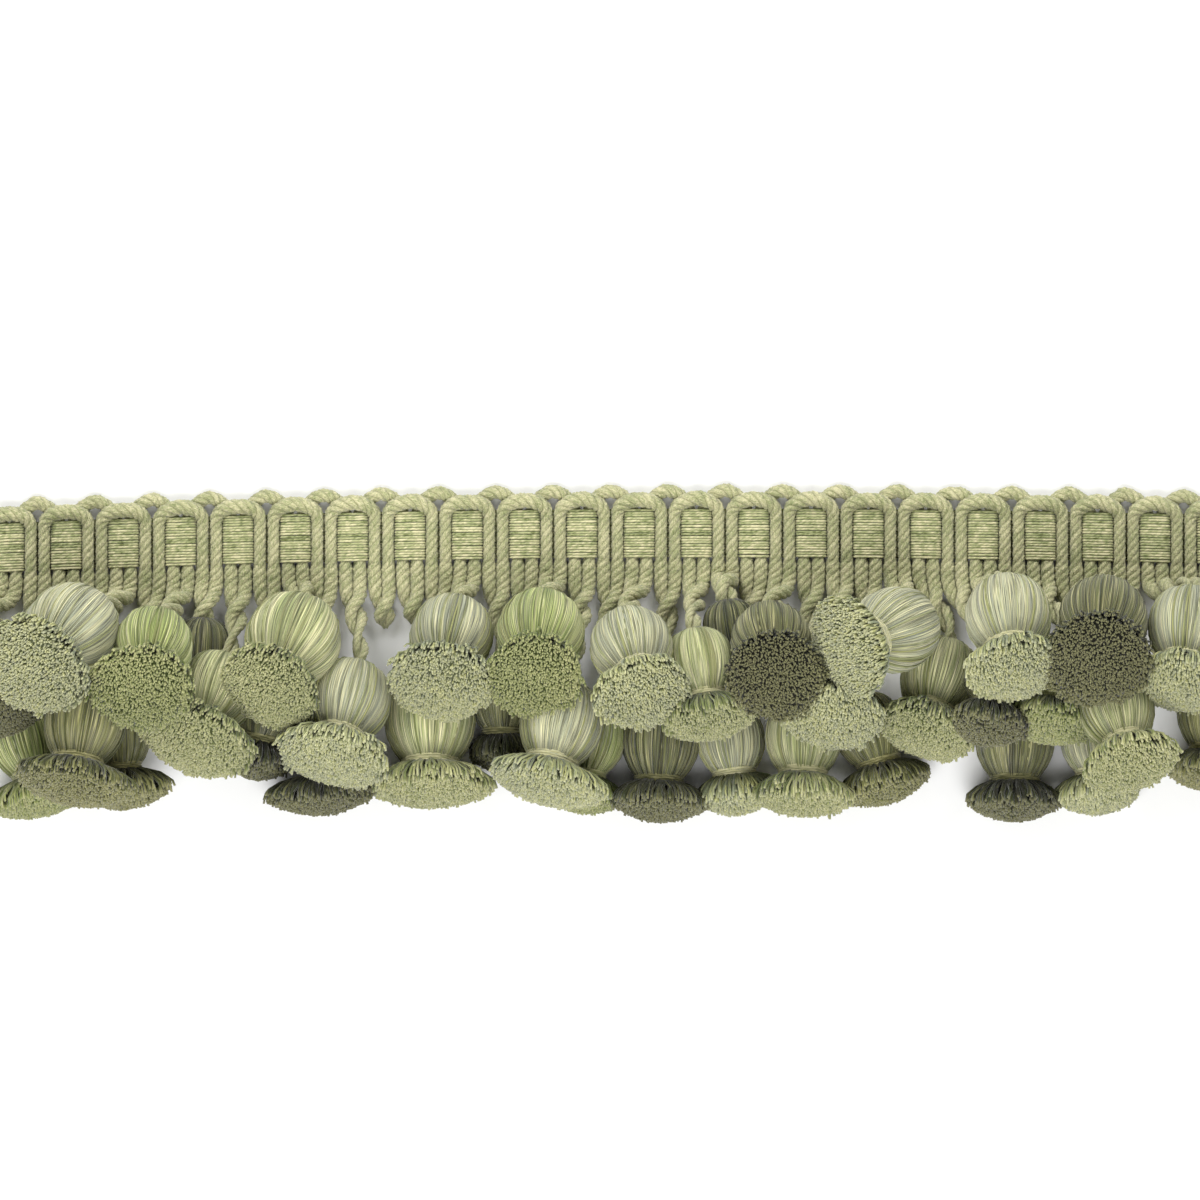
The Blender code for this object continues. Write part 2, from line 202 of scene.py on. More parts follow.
def camera_and_lights():
    """From straight above, with a long lens, in soft light from both long sides."""
    data = bpy.data.cameras.new("camera")
    camera = bpy.data.objects.new("camera", data)
    bpy.context.scene.collection.objects.link(camera)
    camera.location = (*CAMERA_OVER, CAMERA_HEIGHT)
    data.lens = data.sensor_width * (CAMERA_HEIGHT - SHARP_HEIGHT) / VIEW_WIDTH
    data.clip_end = 20.0
    bpy.context.scene.camera = camera

    for name, place, size, power in LAMPS:
        light = bpy.data.lights.new(name, "AREA")
        light.size = size
        light.energy = power
        lamp = bpy.data.objects.new(name, light)
        bpy.context.scene.collection.objects.link(lamp)
        lamp.location = place
        lamp.rotation_euler = Vector(place).to_track_quat("Z", "Y").to_euler()

    world = bpy.data.worlds.new("studio")
    bpy.context.scene.world = world
    world.use_nodes = True
    background = world.node_tree.nodes["Background"]
    background.inputs["Color"].default_value = (1, 1, 1, 1)
    background.inputs["Strength"].default_value = SKY
    bpy.context.scene.view_settings.view_transform = "Standard"


# ------------------------------------------------------------------ materials

class Signal:
    """A socket that takes part in plain arithmetic."""

    def __init__(self, finish, socket):
        self.finish, self.socket = finish, socket

    def maths(self, operation, *values):
        return self.finish.node("ShaderNodeMath", {"operation": operation}, values)

    def __add__(self, other):
        return self.maths("ADD", self, other)

    __radd__ = __add__

    def __mul__(self, other):
        return self.maths("MULTIPLY", self, other)

    __rmul__ = __mul__

    def __sub__(self, other):
        return self.maths("SUBTRACT", self, other)

    def __rsub__(self, other):
        return self.maths("SUBTRACT", other, self)

    def sine(self):
        return self.maths("SINE", self)

    def size(self):
        return self.maths("ABSOLUTE", self)

    def between(self, low, high):
        """0 at low, 1 at high, smooth and clamped."""
        return self.finish.node("ShaderNodeMapRange", {"interpolation_type": "SMOOTHSTEP"},
                                {"Value": self, "From Min": low, "From Max": high})


class Finish:
    """One material, with a method for any node."""

    def __init__(self, name):
        self.material = bpy.data.materials.new(name)
        self.material.use_nodes = True
        self.tree = self.material.node_tree
        self.shader = self.tree.nodes["Principled BSDF"]

    def node(self, kind, settings=None, values=None, output=0):
        made = self.tree.nodes.new(kind)
        for key, value in (settings or {}).items():
            if key == "stops":
                self.set_stops(made.color_ramp, value)
            else:
                setattr(made, key, value)
        named = values.items() if isinstance(values, dict) else enumerate(values or ())
        for key, value in named:
            self.feed(made.inputs[key], value)
        return Signal(self, made.outputs[output])

    def set_stops(self, ramp, stops):
        while len(ramp.elements) < len(stops):
            ramp.elements.new(1.0)
        for element, (position, colour) in zip(ramp.elements, stops):
            element.position = position
            element.color = (*colour, 1.0)

    def feed(self, socket, value):
        if isinstance(value, Signal):
            self.tree.links.new(value.socket, socket)
        elif isinstance(value, tuple) and len(value) == 3 and socket.type == "RGBA":
            socket.default_value = (*value, 1.0)
        else:
            socket.default_value = value

    def attribute(self, name):
        return self.node("ShaderNodeAttribute", {"attribute_name": name}, output="Fac")

    def yarn_map(self):
        """Across the yarns, and along them."""
        where = self.node("ShaderNodeUVMap", {"uv_map": "yarn"})
        split = self.node("ShaderNodeSeparateXYZ", {}, [where])
        node = split.socket.node
        return Signal(self, node.outputs["X"]), Signal(self, node.outputs["Y"])

    def point(self, x, y, z=0.0):
        return self.node("ShaderNodeCombineXYZ", {}, [x, y, z])

    def noise(self, where, detail=2.0, roughness=0.5):
        return self.node("ShaderNodeTexNoise", {},
                         {"Vector": where, "Scale": 1.0, "Detail": detail,
                          "Roughness": roughness}, output="Fac")

    def ramp(self, value, stops, interpolation="LINEAR"):
        made = self.node("ShaderNodeValToRGB", {"stops": stops}, [value])
        made.socket.node.color_ramp.interpolation = interpolation
        return made

    def mix(self, share, first, second, blend="MIX"):
        return self.node("ShaderNodeMix", {"data_type": "RGBA", "blend_type": blend},
                         {0: share, 6: first, 7: second}, output=2)

    def bump(self, height, depth):
        return self.node("ShaderNodeBump", {},
                         {"Height": height, "Distance": depth, "Strength": 1.0})

    def end(self, colour, roughness, normal=None, sheen=0.25):
        self.feed(self.shader.inputs["Base Color"], colour)
        self.feed(self.shader.inputs["Roughness"], roughness)
        self.shader.inputs["Sheen Weight"].default_value = sheen
        self.shader.inputs["Sheen Roughness"].default_value = 0.5
        self.shader.inputs["Specular IOR Level"].default_value = 0.25
        if normal is not None:
            self.feed(self.shader.inputs["Normal"], normal)
        return self.material


DYE = 0.84                      # yarn takes in more light than a flat surface of its colour


def rgb(red, green, blue):
    """A yarn's linear colour, from the usual 0 to 255 values."""
    return tuple(DYE * (value / 255) ** 2.2 for value in (red, green, blue))


def grey(red, green, blue):
    """A share of light to keep, for each colour, from 0 to 255 values."""
    return tuple((value / 255) ** 2.2 for value in (red, green, blue))


# The yarns that each colour of tassel is mixed from, darkest first.
YARN_MIXES = {
    "pale": [rgb(138, 142, 118), rgb(160, 164, 146), rgb(176, 178, 138), rgb(196, 196, 160),
             rgb(212, 208, 156), rgb(226, 222, 184)],
    "cream": [rgb(122, 130, 84), rgb(146, 154, 102), rgb(170, 174, 120), rgb(188, 190, 140),
              rgb(208, 204, 156), rgb(226, 221, 176)],
    "fresh": [rgb(104, 116, 62), rgb(130, 142, 80), rgb(152, 162, 98), rgb(172, 178, 116),
              rgb(190, 192, 134), rgb(212, 208, 160)],
    "olive": [rgb(84, 84, 48), rgb(108, 108, 64), rgb(128, 130, 80), rgb(146, 146, 94),
              rgb(164, 160, 108), rgb(196, 190, 140)],
    "dark": [rgb(62, 60, 34), rgb(82, 84, 48), rgb(98, 104, 62), rgb(112, 110, 72),
             rgb(132, 130, 88), rgb(176, 172, 126)],
}
# Painted light and shade: each skirt gets a darker copy of its yarn mix (painted shade), and each head a
# lighter copy (painted light), for how the light falls on them.
SKIRT_PAINTED_SHADE = {"pale": 0.80, "cream": 0.70, "fresh": 0.72, "olive": 0.58, "dark": 0.44}
HEAD_PAINTED_LIGHT = {"pale": 1.24, "cream": 1.42, "fresh": 1.70, "olive": 1.42, "dark": 1.62}
CORD_YARNS = [rgb(112, 118, 72), rgb(150, 158, 106), rgb(176, 180, 130), rgb(198, 196, 148),
              rgb(228, 222, 176)]


def stepped(colours):
    """Ramp stops that give each yarn one colour of its mix."""
    return [(index / len(colours), colour) for index, colour in enumerate(colours)]


def spread(colours, low=0.0, high=1.0):
    """Ramp stops from the first colour at low to the last at high."""
    last = len(colours) - 1
    return [(low + (high - low) * index / last, c) for index, c in enumerate(colours)]


def head_finish(colour):
    """Fine yarns laid side by side from the crown to the neck, light ones and dull ones."""
    made = Finish("head_" + colour)
    across, along = made.yarn_map()
    tone = made.attribute("shade")
    east, north = (across * TAU + math.pi / 2).sine(), (across * TAU).sine()

    def streaks(fineness, length, offset):
        where = made.point(east * fineness, north * fineness, along * length + tone * 90.0 + offset)
        return made.noise(where, detail=1.0)

    def lines(fineness, offset, width):
        """Thin lines that wander down the head."""
        return (streaks(fineness, 1.1, offset) - 0.5).size().between(width, 0.0)

    hairs, bundle, patch = streaks(52.0, 3.0, 7.0), streaks(9.0, 1.2, 15.0), streaks(1.3, 1.0, 23.0)
    light, dull = lines(24.0, 31.0, 0.06), lines(27.0, 43.0, 0.06)
    value = hairs * 0.9 + bundle * 0.14 + patch * 0.28 + light * 0.14 - 0.21
    # The head's yarn mix, lightened by its painted light.
    yarns = [tuple(HEAD_PAINTED_LIGHT[colour] * share for share in yarn) for yarn in YARN_MIXES[colour]]
    colours = made.ramp(value, spread(yarns, 0.30, 0.66))
    colours = made.mix(dull * 0.75, colours, made.mix(1.0, colours, grey(104, 106, 70), "MULTIPLY"))
    height = hairs * 0.7 + bundle * 0.4 + light * 0.35 - dull * 0.5
    return made.end(colours, 0.66 + hairs * 0.2, made.bump(height, 0.45 * MM))


def strand_finish(colour):
    """Skirt yarns: one colour each, with a painted highlight at the cut end and painted shade towards the
    root, down between the others.
    """
    made = Finish("skirt_" + colour)
    across, along = made.yarn_map()
    pick = made.attribute("shade")
    yarn = made.ramp(pick, stepped(YARN_MIXES[colour]), "CONSTANT")
    fibre = made.noise(made.point(across * 7.0, along * 9.0, pick * 300.0))
    # Painted shade: the skirt's yarns darkened by this share, and turned a little greener.
    level = SKIRT_PAINTED_SHADE[colour]
    yarn = made.mix(1.0, yarn, (level * 0.98, level * 1.04, level * 0.82), "MULTIPLY")
    # Painted highlight: the cut end mixed towards the lightest yarn.
    tip = made.mix(along.between(0.86, 1.0) * 0.4, yarn, YARN_MIXES[colour][-1])
    # Painted shade: darker towards the root, down between the other yarns.
    root = made.mix(along.between(0.75, 0.1) * 0.55, tip,
                    made.mix(1.0, tip, grey(118, 122, 70), "MULTIPLY"))
    worn = made.ramp(fibre, spread([grey(150, 150, 120), (1, 1, 1)], 0.3, 0.7))
    colours = made.mix(0.5, root, worn, "MULTIPLY")
    return made.end(colours, 0.7 + fibre * 0.15, made.bump(fibre, 0.12 * MM))


def band_finish(colour):
    """The yarn wound round a neck."""
    made = Finish("neck_" + colour)
    across, along = made.yarn_map()
    thread = made.noise(made.point(across * 9.0, along * 0.35, 4.0))
    yarns = YARN_MIXES[colour]
    wound = made.ramp(thread, spread([yarns[1], yarns[4], yarns[-1]], 0.30, 0.66))
    return made.end(wound, 0.6 + thread * 0.2, made.bump(thread, 0.2 * MM))


def cord_finish():
    """Plied cord: short streaks of cream and green along its plies."""
    made = Finish("plied_cord")
    across, along = made.yarn_map()
    pick = made.attribute("shade")
    lean = across + along * (FIBRE_LEAN / PLY_LAY)
    streak = made.noise(made.point(lean * 34.0, along * 0.9, pick * 80.0), roughness=0.6)
    fleck = made.noise(made.point(lean * 62.0, along * 2.4, pick * 40.0))
    patch = made.noise(made.point(across * 2.0, along * 0.22, pick * 60.0), detail=1.0)
    value = streak * 0.6 + fleck * 0.65 + patch * 0.35 - 0.30
    colours = made.ramp(value, spread(CORD_YARNS, 0.22, 0.62))
    # Painted shade in the valleys between the plies.
    valley = (across * (PLIES * math.pi)).sine().size()
    painted_crease_shade = made.mix(valley.between(0.0, 0.45), grey(104, 106, 66), (1, 1, 1))
    colours = made.mix(0.4, colours, painted_crease_shade, "MULTIPLY")
    return made.end(colours, 0.72 + fleck * 0.15, made.bump(streak + fleck, 0.34 * MM))


def weave_finish():
    """The heading's fine yarns, spun from a few threads each."""
    made = Finish("heading_yarn")
    across, along = made.yarn_map()
    pick = made.attribute("shade")
    thread = made.noise(made.point(across * 5.0 + along * 0.8, along * 0.9, pick * 200.0))
    patch = made.noise(made.point(pick * 60.0, along * 0.35, 3.0), detail=1.0)
    value = thread * 0.8 + patch * 0.5 + pick * 0.2 - 0.28
    colours = made.ramp(value, spread(CORD_YARNS, 0.26, 0.64))
    # Painted shade: each fine yarn darkened down its sides and underneath, lightest on top.
    side = (across * TAU).sine().between(0.72, 0.15)
    colours = made.mix(side * 0.75, colours, made.mix(1.0, colours, grey(96, 98, 58), "MULTIPLY"))
    return made.end(colours, 0.66 + thread * 0.2, made.bump(thread, 0.16 * MM))


# ------------------------------------------------------------------ yarns as meshes

def unit(vectors):
    return vectors / np.maximum(np.linalg.norm(vectors, axis=-1, keepdims=True), 1e-9)


def dot(a, b):
    return np.sum(a * b, axis=-1, keepdims=True)


def around(angle, level, upper):
    """Directions at the angles, from level on towards upper."""
    return np.cos(angle)[..., None] * level + np.sin(angle)[..., None] * upper


def polygon(sides):
    angle = np.arange(sides) * TAU / sides
    return np.stack([np.cos(angle), np.sin(angle)], axis=1)


def plied_section():
    """Outline of plies laid round each other, four points to a ply."""
    points = []
    for ply in range(PLIES):
        for share, reach in ((0.0, 0.80), (0.2, 0.95), (0.5, 1.0), (0.8, 0.95)):
            angle = (ply + share) * TAU / PLIES
            points.append((reach * math.cos(angle), reach * math.sin(angle)))
    return np.array(points)


def ring_faces(rows, columns):
    """Faces between rows of points that each go once round."""
    row = np.arange(rows - 1)[:, None] * columns
    here = np.arange(columns)[None]
    there = (here + 1) % columns
    return np.stack([row + here, row + there, row + columns + there, row + columns + here], -1)


def ring_maps(along, columns):
    """The share of the way round, and the place along, at the corners of ring_faces."""
    low, high = along[..., :-1, None], along[..., 1:, None]
    here, step = np.arange(columns) / columns, 1 / columns
    corners = ((here, low), (here + step, low), (here + step, high), (here, high))
    return np.stack([np.stack(np.broadcast_arrays(*corner), -1) for corner in corners], -2)


class Yarns:
    """Many swept yarns, joined in one mesh."""

    def __init__(self):
        self.points, self.faces, self.maps, self.shades, self.slots = [], [], [], [], []
        self.count = 0

    def add(self, points, faces, maps, shades, slot):
        """faces holds indices from 0 on, and maps one pair for each of its corners."""
        self.points.append(points.reshape(-1, 3))
        self.faces.append(faces + self.count)
        self.maps.append(maps)
        self.shades.append(np.broadcast_to(shades, len(faces)).astype(float))
        self.slots.append(np.full(len(faces), slot))
        self.count += len(self.points[-1])

    def sweep(self, middles, radii, section, along, shades=0.5, turn=None, slot=0, first=(0, 0, 1),
              hold=False):
        """Sweep the section along each row of middles.

        middles: yarns x stations x 3. radii and along: yarns x stations. turn: how
        far the section has turned at each station. The first normal is near first,
        and so are the others if it is held.
        """
        yarns, stations = middles.shape[:2]
        sides = len(section)
        radii = np.broadcast_to(radii, (yarns, stations))
        along = np.broadcast_to(along, (yarns, stations))
        turn = np.zeros((1, 1)) if turn is None else turn
        turn = np.broadcast_to(turn, (yarns, stations))[..., None, None]
        tangent = unit(np.gradient(middles, axis=1))
        normal = np.empty_like(tangent)
        steady = last = np.broadcast_to(np.array(first, float), (yarns, 3))
        for station in range(stations):
            ahead = tangent[:, station]
            last = steady if hold else last
            last = unit(last - dot(last, ahead) * ahead)
            normal[:, station] = last
        side = np.cross(tangent, normal)
        normal, side = normal[:, :, None], side[:, :, None]
        across = np.cos(turn) * normal + np.sin(turn) * side
        upright = -np.sin(turn) * normal + np.cos(turn) * side
        outline = section[None, None, :, :1] * across + section[None, None, :, 1:] * upright
        points = middles[:, :, None] + radii[..., None, None] * outline

        start = (np.arange(yarns) * stations * sides)[:, None, None, None]
        faces = start + ring_faces(stations, sides)
        maps = ring_maps(along, sides)
        shades = np.broadcast_to(shades, yarns).astype(float)
        each = (stations - 1) * sides
        first_point = self.count
        self.add(points, faces.reshape(-1, 4), maps.reshape(-1, 4, 2), np.repeat(shades, each), slot)
        self.close(first_point, yarns, stations, sides, along, shades, slot)

    def spikes(self, roots, tips, radii, shades, turn, slot=1):
        """Yarn ends: a small triangle at the tip, narrowing to a point at the root."""
        count = len(roots)
        axis = unit(tips - roots)
        across = unit(np.cross(axis, (0.31, 0.22, 0.92)))
        upright = np.cross(axis, across)
        angle = turn[:, None, None] + (np.arange(3) * TAU / 3)[None, :, None]
        outline = np.cos(angle) * across[:, None] + np.sin(angle) * upright[:, None]
        corners = tips[:, None] + radii[:, None, None] * outline
        points = np.concatenate([corners, roots[:, None]], axis=1)
        base = np.arange(count)[:, None] * 4
        faces = np.stack([base + np.array(face) for face in ((0, 1, 2), (1, 0, 3), (2, 1, 3), (0, 2, 3))], 1)
        # The tip takes the top place along, for the skirt finish's painted highlight, and the root a low
        # one, for its painted shade.
        high, low = (0.5, 1.0), (0.5, 0.2)
        maps = np.array([(high, high, high)] + [(high, high, low)] * 3)
        self.add(points, faces.reshape(-1, 3), np.tile(maps, (count, 1, 1)), np.repeat(shades, 4), slot)

    def close(self, first_point, yarns, stations, sides, along, shades, slot):
        """Fans over both ends of each yarn."""
        base = first_point + np.arange(yarns) * stations * sides
        for station, flip in ((0, True), (stations - 1, False)):
            for corner in range(1, sides - 1):
                order = (0, corner + 1, corner) if flip else (0, corner, corner + 1)
                fan = np.stack([base + station * sides + i for i in order], 1)
                maps = np.stack([np.full(yarns, 0.5), along[:, station]], 1)
                self.faces.append(fan)
                self.maps.append(np.repeat(maps[:, None], 3, axis=1))
                self.shades.append(shades)
                self.slots.append(np.full(yarns, slot))

    def finish(self, name, materials):
        """The yarns as one object at the origin."""
        mesh = bpy.data.meshes.new(name)
        points = np.concatenate(self.points) * MM
        corners = np.concatenate([f.reshape(-1) for f in self.faces])
        sizes = np.concatenate([np.full(len(f), f.shape[1]) for f in self.faces])
        mesh.vertices.add(len(points))
        mesh.vertices.foreach_set("co", points.astype(np.float32).reshape(-1))
        mesh.loops.add(len(corners))
        mesh.loops.foreach_set("vertex_index", corners.astype(np.int32))
        mesh.polygons.add(len(sizes))
        mesh.polygons.foreach_set("loop_start", (np.cumsum(sizes) - sizes).astype(np.int32))
        mesh.polygons.foreach_set("loop_total", sizes.astype(np.int32))
        mesh.polygons.foreach_set("material_index", np.concatenate(self.slots).astype(np.int32))
        mesh.polygons.foreach_set("use_smooth", np.full(len(sizes), True))
        mesh.update(calc_edges=True)
        places = mesh.uv_layers.new(name="yarn")
        maps = np.concatenate([m.reshape(-1, 2) for m in self.maps])
        places.data.foreach_set("uv", maps.astype(np.float32).reshape(-1))
        shade = mesh.attributes.new("shade", "FLOAT", "FACE")
        shade.data.foreach_set("value", np.concatenate(self.shades).astype(np.float32))
        mesh.validate()
        for material in materials:
            mesh.materials.append(material)
        obj = bpy.data.objects.new(name, mesh)
        bpy.context.scene.collection.objects.link(obj)
        return obj


SPLINE_SPAN = 8                 # points for each span of a spline


def spline(points, per_span=SPLINE_SPAN):
    """A smooth curve through the points, dense enough to be measured."""
    points = np.asarray(points, float)
    padded = np.vstack([2 * points[0] - points[1], points, 2 * points[-1] - points[-2]])
    t = np.linspace(0, 1, per_span, endpoint=False)[:, None]
    rows = []
    for a, b, c, d in zip(padded, padded[1:], padded[2:], padded[3:]):
        rows.append(0.5 * (2 * b + (c - a) * t + (2 * a - 5 * b + 4 * c - d) * t ** 2
                           + (3 * b - a - 3 * c + d) * t ** 3))
    return np.vstack(rows + [points[-1:]])


def lengths(points):
    steps = np.linalg.norm(np.diff(points, axis=0), axis=1)
    return np.concatenate([[0.0], np.cumsum(steps)])


def evenly(values, at, step):
    """Values given at the places `at`, read again at even steps."""
    places = np.linspace(at[0], at[-1], max(3, int(round((at[-1] - at[0]) / step)) + 1))
    if values.ndim == 1:
        return np.interp(places, at, values)
    return np.stack([np.interp(places, at, column) for column in values.T], axis=1)


def smooth_step(t):
    t = np.clip(t, 0.0, 1.0)
    return t * t * (3 - 2 * t)


def ease(at, start, end):
    """0 up to start, 1 from end on."""
    return smooth_step((at - start) / (end - start))


# ------------------------------------------------------------------ heading

def bow(x):
    return BOW_SLOPE * x + BOW_CURVE * x * x


def edge_y(x):
    return HEADING_Y - BLOCK_DEPTH / 2 + bow(x)


def block_x(index):
    return -LENGTH / 2 + (index + 0.5) * PITCH


# Half a unit of a fine yarn: distance from the block's middle, and height.
YARN_ROUTE = [
    (0.0, OVER - 0.10),
    (1.2, OVER),
    (2.5, OVER - 0.05),
    (3.2, OVER - 0.55),
    (3.6, 2.6),
    (3.82, 1.35),
    (4.5, 0.6),
    (5.6, UNDER),
]


def fine_yarns(material):
    """The yarns along the heading, over the blocks and under the bare cords."""
    route = [(-u, z) for u, z in reversed(YARN_ROUTE[1:])] + YARN_ROUTE
    rows = [(-LENGTH / 2, 0.0, UNDER)]
    for index in range(UNITS):
        rows += [(block_x(index) + u, index, z) for u, z in route]
    rows.append((LENGTH / 2, UNITS - 1, UNDER))
    x, block, height = np.array(rows).T
    block = block.astype(int)
    made = Yarns()
    middles, shades = [], []
    for yarn in range(YARNS):
        share = (yarn + 0.5) / YARNS - 0.5
        wander = rng.normal(0, 0.035, UNITS)[block]
        swell = rng.normal(0, 0.05, UNITS)[block]
        fall = 0.35 * (2 * share) ** 6
        y = HEADING_Y + bow(x) + share * (BLOCK_DEPTH - 0.5) + wander
        z = np.where(height > 2.0, height + swell - fall, height)
        middles.append(np.stack([x, y, z], axis=1))
        shades.append(rng.random())
    middles = np.array(middles)
    made.sweep(middles, YARN_RADIUS, polygon(6), lengths(middles[0])[None], np.array(shades),
               first=(0, 1, 0), hold=True)
    return made.finish("heading_weave", [material])


# Left halves of the cords' routes over a block's top, and between two blocks.
# Columns: distance from the route's middle line, distance above the block's top
# (negative is below it), height, and what is added to the cord's radius.
ARCH_HALF = [
    (BARE_AT, -BLOCK_DEPTH, BARE_HEIGHT, 0.0),
    (BARE_AT, -8.5, BARE_HEIGHT, 0.0),
    (BARE_AT, -4.0, BARE_HEIGHT, 0.0),
    (BARE_AT + 0.05, -1.6, BARE_HEIGHT + 0.2, 0.075),
    (4.9, 0.35, 3.2, 0.225),
    (2.9, 1.65, 3.9, 0.375),
]
ARCH_TOP = (2.1, 4.2, 0.4125)   # above the block's top, height, added radius
LOOP_AWAY = PITCH / 2 - BOUND_AT
LOOP_HALF = [
    (LOOP_AWAY, -BLOCK_DEPTH, BOUND_HEIGHT, -0.15),
    (LOOP_AWAY, -6.0, BOUND_HEIGHT, -0.15),
    (LOOP_AWAY, -1.5, BOUND_HEIGHT, 0.0),
    (LOOP_AWAY - 0.5, 0.6, 1.9, 0.075),
    (LOOP_AWAY - 2.0, 2.7, 1.8, 0.15),
    (LOOP_AWAY - 3.8, 3.85, 1.85, 0.1875),
]
LOOP_TOP = (4.35, 1.9, 0.1875)


def over_route(x, half, top, lean, uneven):
    """Route and radius of a cord that comes up on the left of x and goes down on its right."""
    above, height, swell = top
    middle = (lean, above + uneven, height)
    left = [(-u, v, z) for u, v, z, _ in half]
    right = [(u, v, z) for u, v, z, _ in reversed(half)]
    route = np.array(left + [middle] + right) + [x, edge_y(x) + BLOCK_DEPTH, 0.0]
    route[:, 1] += bow(route[:, 0]) - bow(x)
    swells = [row[3] for row in half]
    radius = CORD_RADIUS + np.array(swells + [swell] + swells[::-1])
    return spline(route), evenly(radius, np.arange(len(radius)) * float(SPLINE_SPAN), 1.0)


def arch(index):
    """From the left bare cord of a block over its top to the right one."""
    x, lean = block_x(index), rng.normal(0, 0.25)
    return over_route(x, ARCH_HALF, ARCH_TOP, lean, rng.normal(0, 0.18))


def loop(index):
    """From the right bound cord of a block, behind the arches, to the next block."""
    x, lean = block_x(index) + PITCH / 2, rng.normal(0, 0.3)
    return over_route(x, LOOP_HALF, LOOP_TOP, lean, rng.normal(0, 0.2))


# ------------------------------------------------------------------ hanging pairs

def pair_x(index):
    """Pairs hang below each block's middle and between blocks."""
    return -LENGTH / 2 + (index + 1) * PAIR_PITCH


def direction(turn, lift):
    """Unit vector for a turn from -Y towards +X and a lift above the surface."""
    level = math.cos(lift)
    return np.array([math.sin(turn) * level, -math.cos(turn) * level, math.sin(lift)])


class Place:
    """Where a tassel lies: its axes, and the middle of its head."""

    def __init__(self, tassel):
        turn, lift = math.radians(tassel.turn), math.radians(tassel.lift)
        bend = math.radians(tassel.bend)
        self.tassel = tassel
        self.axis = direction(turn, lift)
        self.skirt_axis = direction(turn, lift + bend)
        self.level = np.array([math.cos(turn), math.sin(turn), 0.0])
        self.upper = np.cross(self.axis, self.level)
        self.skirt_upper = np.cross(self.skirt_axis, self.level)
        head, neck = tassel.head, (NECK_AT - 1.0) * tassel.head
        # The solid's highest point is the head's or the skirt rim's.
        rim = neck * self.axis[2] + SKIRT_LENGTH * self.skirt_axis[2]
        rim += 0.90 * tassel.skirt * self.skirt_upper[2]
        top = max(0.95 * head, rim)
        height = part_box(tassel.name)[1][2] / MM - top
        self.middle = np.array([tassel.x, tassel.y, height])
        self.crown = self.middle - self.axis * head
        self.neck = self.middle + self.axis * neck


def choose_pairs(places):
    """Give each tassel the next free cord pair near its crown, in order along X."""
    count = 2 * UNITS - 1
    ordered = sorted(places, key=lambda place: place.crown[0])
    chosen, last = {}, -1
    for rank, place in enumerate(ordered):
        # In order, and leaving enough pairs for the tassels still to come.
        nearest = round((place.crown[0] - pair_x(0)) / PAIR_PITCH)
        last = min(max(nearest, last + 1), count - len(ordered) + rank)
        chosen[last] = place
    return chosen


def pair_middle(index, place):
    """A pair's middle line, from the heading's edge to its tassel or its own end."""
    x = pair_x(index)
    top = np.array([x, edge_y(x), (BARE_HEIGHT + BOUND_HEIGHT) / 2])
    start = np.array([x, edge_y(x) - PAIR_START, PAIR_RADIUS])
    if place is None:
        sway = rng.normal(0, 0.6)
        drop = LOOP_LENGTH + rng.uniform(-1.0, 2.5)
        return spline([top, start, start + [sway * 0.4, -drop * 0.5, 0.6], start + [sway, -drop, 0.4]], 12)
    end = place.crown - place.axis * GAP
    near = end - place.axis * APPROACH
    reach = np.linalg.norm(end - start)
    first = start - [0, STRAIGHT_SHARE * reach, 0]
    second = near - place.axis * (3 * APPROACH)
    second[2] = max(second[2], PAIR_RADIUS)
    t = np.linspace(0, 1, 30)[:, None]
    s = 1 - t
    curve = s ** 3 * start + 3 * s * s * t * first + 3 * s * t * t * second + t ** 3 * near
    return np.vstack([top, curve, end, end + place.axis * 2.5])


def pair_members(index, place):
    """The two cords of a pair: side by side at the heading, then twisted together."""
    middle = pair_middle(index, place)
    at = lengths(middle)
    middle = evenly(middle, at, 0.5)
    at = lengths(middle)
    tangent = unit(np.gradient(middle, axis=0))
    normal = np.empty_like(tangent)
    last = np.array([1.0, 0.0, 0.0])
    for row, ahead in enumerate(tangent):
        last = last - np.dot(last, ahead) * ahead
        last /= np.linalg.norm(last)
        normal[row] = last
    side = np.cross(tangent, normal)
    merge = ease(at, *MERGE)
    angle = (at - TWIST_AT).clip(0) * ease(at, *TWISTS) * TAU / HANGER_LAY
    thin = 1 - THINNING * ease(at, *THIN)
    apart = BOUND_AT + (HANGER_RADIUS * 0.92 * thin - BOUND_AT) * merge
    swollen = CORD_RADIUS + (SWOLLEN - CORD_RADIUS) * smooth_step(at / 2.0)
    radius = swollen + (HANGER_RADIUS * thin - swollen) * merge
    if place is None:  # a closed loop's end
        end = smooth_step((at[-1] - at) / 3.2)
        apart = apart * (0.15 + 0.85 * end)
        radius = radius * (0.30 + 0.70 * end)
    swing = around(angle, normal, side)
    members = []
    for sign in (-1, 1):
        route = middle + sign * apart[:, None] * swing
        route[:, 2] = np.maximum(route[:, 2], radius + 0.1)
        members.append((route, radius))
    return members


def loose_end(x, height):
    """A lone cord past the last pair, cut off."""
    y = edge_y(x)
    route = spline([(x, y, height), (x, y - 4, 2.0), (x + math.copysign(0.6, x), y - 8.5, 1.75)])
    return route, np.full(len(route), CORD_RADIUS)


def join_route(left, over, right):
    """Hanging part, heading part, hanging part: one cord, with its radius."""
    route = np.vstack([left[0][::-1], over[0][1:-1], right[0]])
    radius = np.concatenate([left[1][::-1], over[1][1:-1], right[1]])
    return route, radius


def plied(made, route, radius):
    """Sweep one plied cord along its route."""
    at = lengths(route)
    route, radius = evenly(route, at, CORD_STEP), evenly(radius, at, CORD_STEP)
    at = lengths(route)
    made.sweep(route[None], radius[None], plied_section(), at[None], rng.random(),
               turn=(at * TAU / PLY_LAY + rng.uniform(0, TAU))[None])


